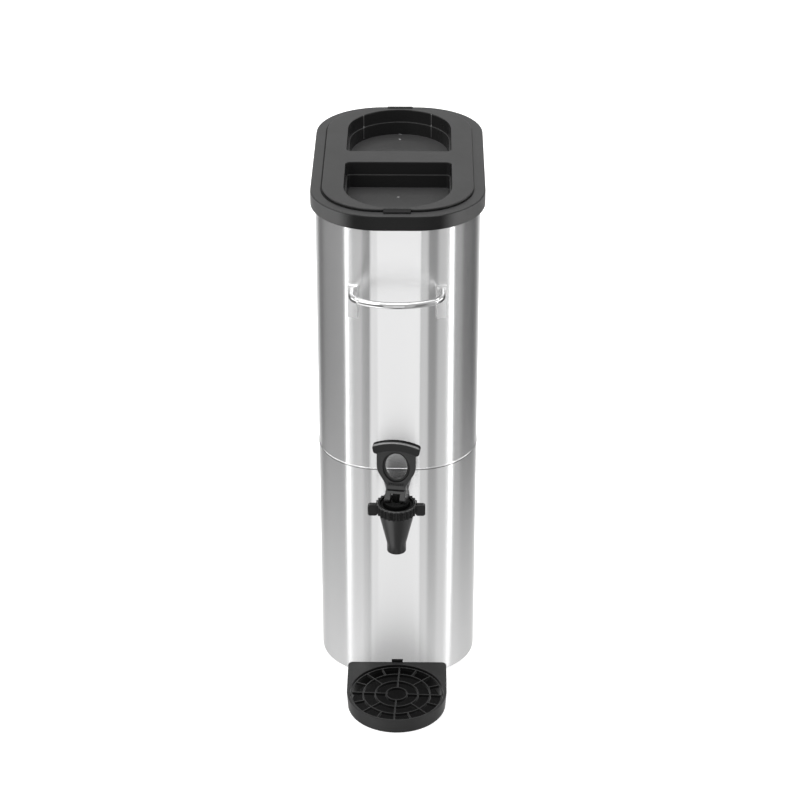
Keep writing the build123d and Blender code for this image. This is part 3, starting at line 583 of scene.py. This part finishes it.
# gate marks in a pale colour that paints their glint, tabs in a darker colour that paints their shade, and
# the wells' floors in a paler colour that paints them lit
for face in bm.faces:
    spot = face.calc_center_median()
    depth = high.z - spot.z
    endward = min(high.y - spot.y, spot.y - low.y)
    onTab = abs(spot.x) < lidCoverLook["tabHalf"] and depth < lidCoverLook["tabDepth"]
    small = face.calc_area() < lidCoverLook["gateArea"]
    if onTab and endward < lidCoverLook["tabReach"] + lidCoverLook["tabRoot"]:
        face.material_index = 2
    elif abs(spot.x) < lidCoverLook["gateReach"] and depth > lidCoverLook["gateDepth"] and small:
        face.material_index = 1
    elif face.normal.z > lidCoverLook["floorLean"] and depth > lidCoverLook["floorDepth"]:
        face.material_index = 4
# painted highlights: thin upright pale marks on the rear well's far wall, with paler beads at the top and at
# the ledge, stand for the glints on the wall's corners
walls = BVHTree.FromBMesh(bm)
wide, thick = lidCoverLook["markSize"]
for markX in lidCoverLook["markX"]:
    for markTop, markFoot, finish in lidCoverLook["marks"]:
        ends = []
        for depth in (markTop, markFoot):
            start = Vector((markX, lidCoverLook["markFrom"], high.z - depth))
            ends.append(walls.ray_cast(start, Vector((0, 1, 0)))[0])
        if None in ends:
            continue
        upper, lower = ends
        lean = (upper - lower).normalized().to_track_quat("Z", "Y").to_matrix().to_4x4()
        size = Matrix.Diagonal((wide, thick, (upper - lower).length, 1))
        mark = bmesh.ops.create_cube(bm, size=1, matrix=Matrix.Translation((upper + lower) / 2) @ lean @ size)
        for vert in mark["verts"]:
            for face in vert.link_faces:
                face.material_index = finish
makePiece("lidCover", bm, "lid_cover",
          ["lidPlastic", "glintGatePlastic", "shadedTabPlastic", "paintedGlintPlastic", "litFloorPlastic"])

# Painted shade: the groove round the cover, wider on the left, is a thin dark band lying on the rim that
# stands for its shadow
grooveShadeLook = {"inner": 0.0001, "outer": 0.0008, "shift": -0.0005, "thick": 0.0003,
              "corner": 0.0545, "turns": 24}
middle = (low + high) / 2
halfWide = (high.x - low.x) / 2 + grooveShadeLook["outer"]
halfDeep = (high.y - low.y) / 2 - lidCoverLook["tabReach"] + grooveShadeLook["outer"]
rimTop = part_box("lid_rim")[1].z
bm = bmesh.new()
bmesh.ops.create_grid(bm, x_segments=1, y_segments=1, size=1)
bmesh.ops.scale(bm, verts=bm.verts, vec=(halfWide, halfDeep, 1))
bmesh.ops.translate(bm, verts=bm.verts, vec=(grooveShadeLook["shift"], middle.y, rimTop - grooveShadeLook["thick"] / 2))
bmesh.ops.bevel(bm, geom=bm.verts[:], offset=grooveShadeLook["corner"] + grooveShadeLook["outer"],
                offset_type="OFFSET", segments=grooveShadeLook["turns"], profile=0.5, affect="VERTICES",
                material=-1)
inside = bm.faces[:]
bmesh.ops.inset_region(bm, faces=inside, thickness=grooveShadeLook["outer"] - grooveShadeLook["inner"],
                       use_even_offset=True, use_boundary=True)
innerEdge = inside[0].verts[:]
bmesh.ops.delete(bm, geom=inside, context="FACES_ONLY")
bmesh.ops.translate(bm, verts=innerEdge, vec=(-grooveShadeLook["shift"], 0, 0))
bmesh.ops.solidify(bm, geom=bm.faces[:], thickness=-grooveShadeLook["thick"])
bmesh.ops.recalc_face_normals(bm, faces=bm.faces)
makeObject("lidGrooveShade", bm, nodes["lid_rim"]["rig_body"], ["paintedShadePlastic"])
print("lid moulded")

tapLook = {"round": 0.0004, "steps": 3}
makePiece("tapBody", roundedCopy("faucet_body", tapLook), "faucet_body", ["tapPlastic"])
bonnetLook = {"round": 0.0003, "steps": 2, "hollow": 0.0158, "rim": 0.0170, "rimLean": (0.3, 0.97)}
bm = roundedCopy("faucet_bonnet", bonnetLook)
low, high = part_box("faucet_bonnet")
tapAxis = (low + high) / 2
# painted shade: the hollow inside the ring takes the near-black colour; the rim's sloped faces take the
# glossier finish
for face in bm.faces:
    reach = (face.calc_center_median().xy - tapAxis.xy).length
    if reach < bonnetLook["hollow"]:
        face.material_index = 1
    elif reach > bonnetLook["rim"] and bonnetLook["rimLean"][0] < face.normal.z < bonnetLook["rimLean"][1]:
        face.material_index = 2
makePiece("tapBonnet", bm, "faucet_bonnet", ["bonnetPlastic", "paintedShadePlastic", "glintPlastic"])

# Lever, in its own directions: right, up and front from the pin
leverLook = {
    "round": 0.0006, "steps": 3, "twist": 8.0, "upLean": 0.3, "cutMerge": 0.000001,
    # the paddle's top: a painted highlight on its front edge and painted shade behind it
    "paddleLow": 0.040, "aboveWeb": 1.1, "shineFrom": 0.0014, "shineUp": 0.62,
    # the ring round the thin web, and the neck below it; the ring's face and the neck's band are painted lit,
    # the web's rim and step painted shade
    "ringFront": (0.0030, 0.0038), "ringFlat": 0.7, "neckHeight": 0.0115,
    "webMiddle": 0.0313, "webHalf": (0.01305, 0.0165), "webRim": (0.94, 1.06), "webStep": (0.0014, 0.0036),
    # painted shade under the neck's lip: its top edge up and to the front, its slope in degrees and its size
    "lipShadeTop": (0.0077, 0.0046), "lipShadeSlope": 40.5, "lipShadeLength": 0.0015, "lipShadeHalf": 0.0078,
    "lipShadeThick": 0.0003,
    # the teeth, in the paler colour that paints them lit, and the dark strip behind them, painted shade
    # between them
    "neckFace": 0.0035, "teeth": 9, "toothPitch": 0.0017, "toothWide": 0.0009, "toothTall": 0.0020,
    "toothLow": 0.0121, "toothThick": 0.0007, "stripThick": 0.00024, "stripGrow": 0.0004,
    "blockRound": 0.2,    # share of a block's least size
}
twist = radians(leverLook["twist"])
leverRight = Vector((cos(twist), -sin(twist), 0))
leverUp = Vector((0, 0, 1))
leverFront = Vector((-sin(twist), -cos(twist), 0))
low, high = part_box("lever_pin")
pinMiddle = (low + high) / 2
bm = roundedCopy("faucet_lever", leverLook)
bmesh.ops.bisect_plane(bm, geom=bm.verts[:] + bm.edges[:] + bm.faces[:], dist=leverLook["cutMerge"],
                       plane_co=pinMiddle + leverFront * leverLook["shineFrom"], plane_no=leverFront)
halfRight, halfUp = leverLook["webHalf"]
ringBack, ringFront = leverLook["ringFront"]
# painted light and shade on the lever: the paddle's top front in a pale glossy colour (painted highlight) and
# its back in near-black (painted shade), the ring's face and the neck's band in the paler colour (painted
# light), the web's rim and step in near-black (painted shade)
for face in bm.faces:
    spot = face.calc_center_median() - pinMiddle
    right, up, front = spot.dot(leverRight), spot.z, spot.dot(leverFront)
    facingUp = face.normal.z
    fromWeb = Vector((right / halfRight, (up - leverLook["webMiddle"]) / halfUp)).length
    onWebRim = leverLook["webRim"][0] < fromWeb < leverLook["webRim"][1]
    if up > leverLook["paddleLow"] and facingUp > leverLook["upLean"] and fromWeb > leverLook["aboveWeb"]:
        if front < leverLook["shineFrom"]:
            face.material_index = 2
        elif facingUp > leverLook["shineUp"]:
            face.material_index = 3
    elif up > leverLook["neckHeight"] and ringBack < front < ringFront:
        face.material_index = 1
        if onWebRim and face.normal.dot(leverFront) < leverLook["ringFlat"]:
            face.material_index = 2
    elif onWebRim and leverLook["webStep"][0] < front < leverLook["webStep"][1]:
        face.material_index = 2
    elif up < leverLook["neckHeight"] and facingUp > leverLook["upLean"] and front > ringBack:
        face.material_index = 1


def leverBlock(right, up, front, size, tilt, finish):
    # A small bevelled block on the lever, its size given as right, up and front
    block = bmesh.new()
    bmesh.ops.create_cube(block, size=1)
    bmesh.ops.scale(block, verts=block.verts, vec=(size[0], size[2], size[1]))
    bmesh.ops.bevel(block, geom=block.edges, offset=min(size) * leverLook["blockRound"], segments=2,
                    profile=0.5, affect="EDGES", material=-1)
    turn = Matrix.Rotation(-twist, 4, "Z") @ Matrix.Rotation(radians(tilt), 4, "X")
    spot = pinMiddle + leverRight * right + leverUp * up + leverFront * front
    bmesh.ops.transform(block, matrix=Matrix.Translation(spot) @ turn, verts=block.verts)
    for face in block.faces:
        face.material_index = finish
    part = bpy.data.meshes.new("block")
    block.to_mesh(part)
    block.free()
    bm.from_mesh(part)
    bpy.data.meshes.remove(part)


# painted shade: a thin dark block under the neck's lip, lying on the sloped shoulders of the foot, stands for
# the shadow there
slope = radians(leverLook["lipShadeSlope"])
lipShadeUp = leverLook["lipShadeTop"][0] - sin(slope) * leverLook["lipShadeLength"] / 2
lipShadeFront = leverLook["lipShadeTop"][1] + cos(slope) * leverLook["lipShadeLength"] / 2
leverBlock(0, lipShadeUp, lipShadeFront, (2 * leverLook["lipShadeHalf"], leverLook["lipShadeThick"], leverLook["lipShadeLength"]),
           leverLook["lipShadeSlope"], 2)
# row of small teeth on a dark strip, over the neck: the strip is painted shade between the teeth, and the
# teeth take the paler colour, painted light
toothMiddle = leverLook["toothLow"] + leverLook["toothTall"] / 2
stripWide = leverLook["teeth"] * leverLook["toothPitch"]
stripTall = leverLook["toothTall"] + leverLook["stripGrow"]
leverBlock(0, toothMiddle, leverLook["neckFace"], (stripWide, stripTall, leverLook["stripThick"]), 0, 2)
toothSize = (leverLook["toothWide"], leverLook["toothTall"], leverLook["toothThick"])
for count in range(leverLook["teeth"]):
    sideways = (count - (leverLook["teeth"] - 1) / 2) * leverLook["toothPitch"]
    leverBlock(sideways, toothMiddle, leverLook["neckFace"], toothSize, 0, 1)
makePiece("tapLever", bm, "faucet_lever",
          ["tapPlastic", "litBandPlastic", "paintedShadePlastic", "paintedShinePlastic"], False)
print("tap moulded")

trayLook = {"round": 0.0005, "steps": 3, "panFloor": 0.0005, "panTop": 0.0146, "panGap": 0.0014,
            "catchHalf": 0.0057, "catchReach": 0.0069, "deck": 0.0161}
bm = roundedCopy("drip_tray", trayLook)
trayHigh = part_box("drip_tray")[1]
grateLow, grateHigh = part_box("drip_grate")
panMiddle = (grateLow + grateHigh) / 2
panRadius = (grateHigh.x - grateLow.x) / 2 + trayLook["panGap"]
# painted shade: the pan's inside and the catch next to the body take the near-black colour
for face in bm.faces:
    spot = face.calc_center_median()
    inPan = (spot.xy - panMiddle.xy).length < panRadius
    inCatch = abs(spot.x) < trayLook["catchHalf"] and spot.y > trayHigh.y - trayLook["catchReach"]
    if inPan and trayLook["panFloor"] < spot.z < trayLook["panTop"] or inCatch and spot.z > trayLook["deck"]:
        face.material_index = 1
makePiece("dripTray", bm, "drip_tray", ["trayPlastic", "paintedShadePlastic"], False)
grateLook = {"round": 0.0003, "steps": 2, "wallLean": 0.6}
bm = roundedCopy("drip_grate", grateLook)
# painted shade: the bars' walls take the near-black colour
for face in bm.faces:
    if abs(face.normal.z) < grateLook["wallLean"]:
        face.material_index = 1
makePiece("dripGrate", bm, "drip_grate", ["gratePlastic", "paintedShadePlastic"], False)
print("tray moulded")

# the lever's own inner parts aren't mirrored either
for node in ("lever_pin", "faucet_stem"):
    nodes[node].visible_glossy = False
